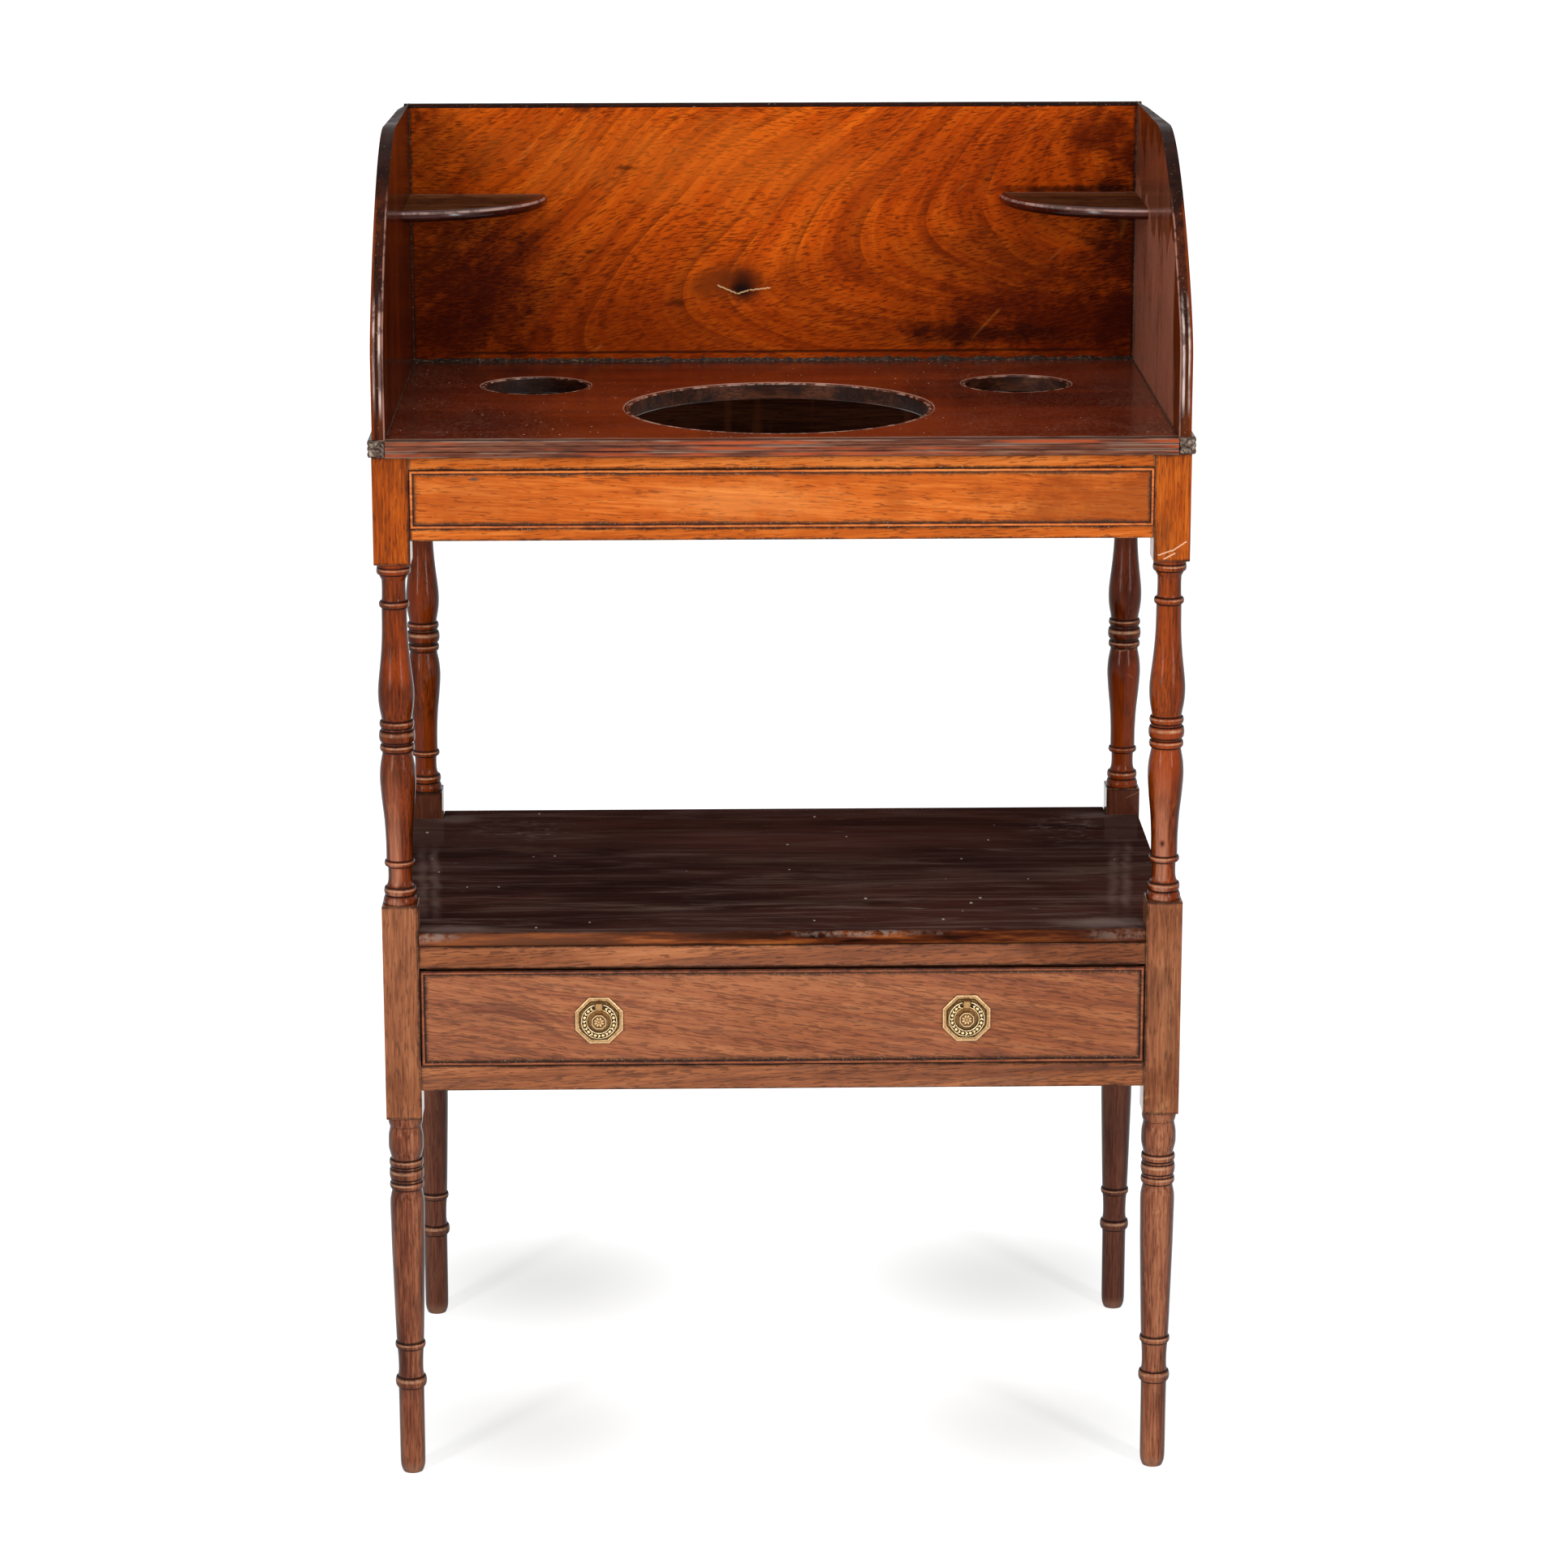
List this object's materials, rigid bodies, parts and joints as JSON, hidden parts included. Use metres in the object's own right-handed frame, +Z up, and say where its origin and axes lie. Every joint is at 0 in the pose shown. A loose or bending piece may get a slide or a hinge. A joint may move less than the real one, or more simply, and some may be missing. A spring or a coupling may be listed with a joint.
{
  "type": "washstand",
  "caption": "Mahogany washstand on turned legs: galleried top with basin and beaker holes and corner shelves, false drawer front, undertier and sliding drawer with ring handles.",
  "frame": {"origin": "middle of the stand's outline on the floor", "axes": "+X to the right seen from the front, +Y from front to back, +Z up"},
  "size_m": [0.623, 0.3914, 1.0465],
  "materials": {
    "gallery_wood": "figured orange-brown mahogany, old polish",
    "top_wood": "dark red-brown mahogany, glossy old polish",
    "frieze_wood": "orange-brown mahogany with fine dark pores, worn polish",
    "turned_wood": "red-brown turned mahogany, glossy polish darkened in the quirks",
    "undertier_wood": "almost black-brown mahogany, glossy, with pale wipe marks",
    "drawer_wood": "dull pinkish-brown mahogany with grime along the beads",
    "lining_wood": "plain unpolished lining wood",
    "brass": "antique gilt brass, lightly stamped",
    "iron": "dark aged iron"
  },
  "bodies": {
    "frame": {"case_apron_left": "drawer_wood", "case_apron_rear": "drawer_wood", "case_apron_right": "drawer_wood", "corner_shelf_left": "top_wood", "corner_shelf_right": "top_wood", "drawer_bottom_rail": "drawer_wood", "drawer_guide_left": "lining_wood", "drawer_guide_right": "lining_wood", "drawer_kicker_left": "lining_wood", "drawer_kicker_right": "lining_wood", "drawer_runner_left": "lining_wood", "drawer_runner_right": "lining_wood", "drawer_stop_left": "lining_wood", "drawer_stop_right": "lining_wood", "drawer_top_rail": "drawer_wood", "dummy_drawer_bead_bottom": "frieze_wood", "dummy_drawer_bead_left": "frieze_wood", "dummy_drawer_bead_right": "frieze_wood", "dummy_drawer_bead_top": "frieze_wood", "dummy_drawer_panel": "frieze_wood", "edge_moulding_front": "top_wood", "edge_moulding_left": "top_wood", "edge_moulding_right": "top_wood", "frieze_apron_left": "frieze_wood", "frieze_apron_rear": "frieze_wood", "frieze_apron_right": "frieze_wood", "frieze_bottom_rail": "frieze_wood", "frieze_top_rail": "frieze_wood", "gallery_back": "gallery_wood", "gallery_left": "top_wood", "gallery_right": "top_wood", "gallery_screw_left": "iron", "gallery_screw_right": "iron", "leg_front_left": "turned_wood", "leg_front_right": "turned_wood", "leg_rear_left": "turned_wood", "leg_rear_right": "turned_wood", "top_board": "top_wood", "top_glue_block_left": "lining_wood", "top_glue_block_right": "lining_wood", "undertier_board": "undertier_wood"},
    "drawer": {"drawer_front": "drawer_wood", "drawer_back": "lining_wood", "drawer_bottom": "lining_wood", "drawer_side_left": "lining_wood", "drawer_side_right": "lining_wood", "drawer_bead_top": "drawer_wood", "drawer_bead_bottom": "drawer_wood", "drawer_bead_left": "drawer_wood", "drawer_bead_right": "drawer_wood", "handle_plate_left": "brass", "handle_plate_right": "brass", "handle_clip_left": "brass", "handle_clip_right": "brass", "handle_boss_left": "brass", "handle_boss_right": "brass", "handle_nut_left": "brass", "handle_nut_right": "brass"},
    "ring_left": {"handle_ring_left": "brass"},
    "ring_right": {"handle_ring_right": "brass"}
  },
  "joints": [
    {"name": "drawer_slide", "type": "slide", "parent": "frame", "child": "drawer", "axis": [0, -1, 0], "range_m": [0, 0.25]},
    {"name": "ring_left_hinge", "type": "hinge", "parent": "drawer", "child": "ring_left", "pos_m": [-0.1425, -0.19015, 0.38915], "axis": [-1, 0, 0], "range_deg": [0, 85]},
    {"name": "ring_right_hinge", "type": "hinge", "parent": "drawer", "child": "ring_right", "pos_m": [0.1425, -0.19015, 0.38915], "axis": [-1, 0, 0], "range_deg": [0, 85]}
  ]
}
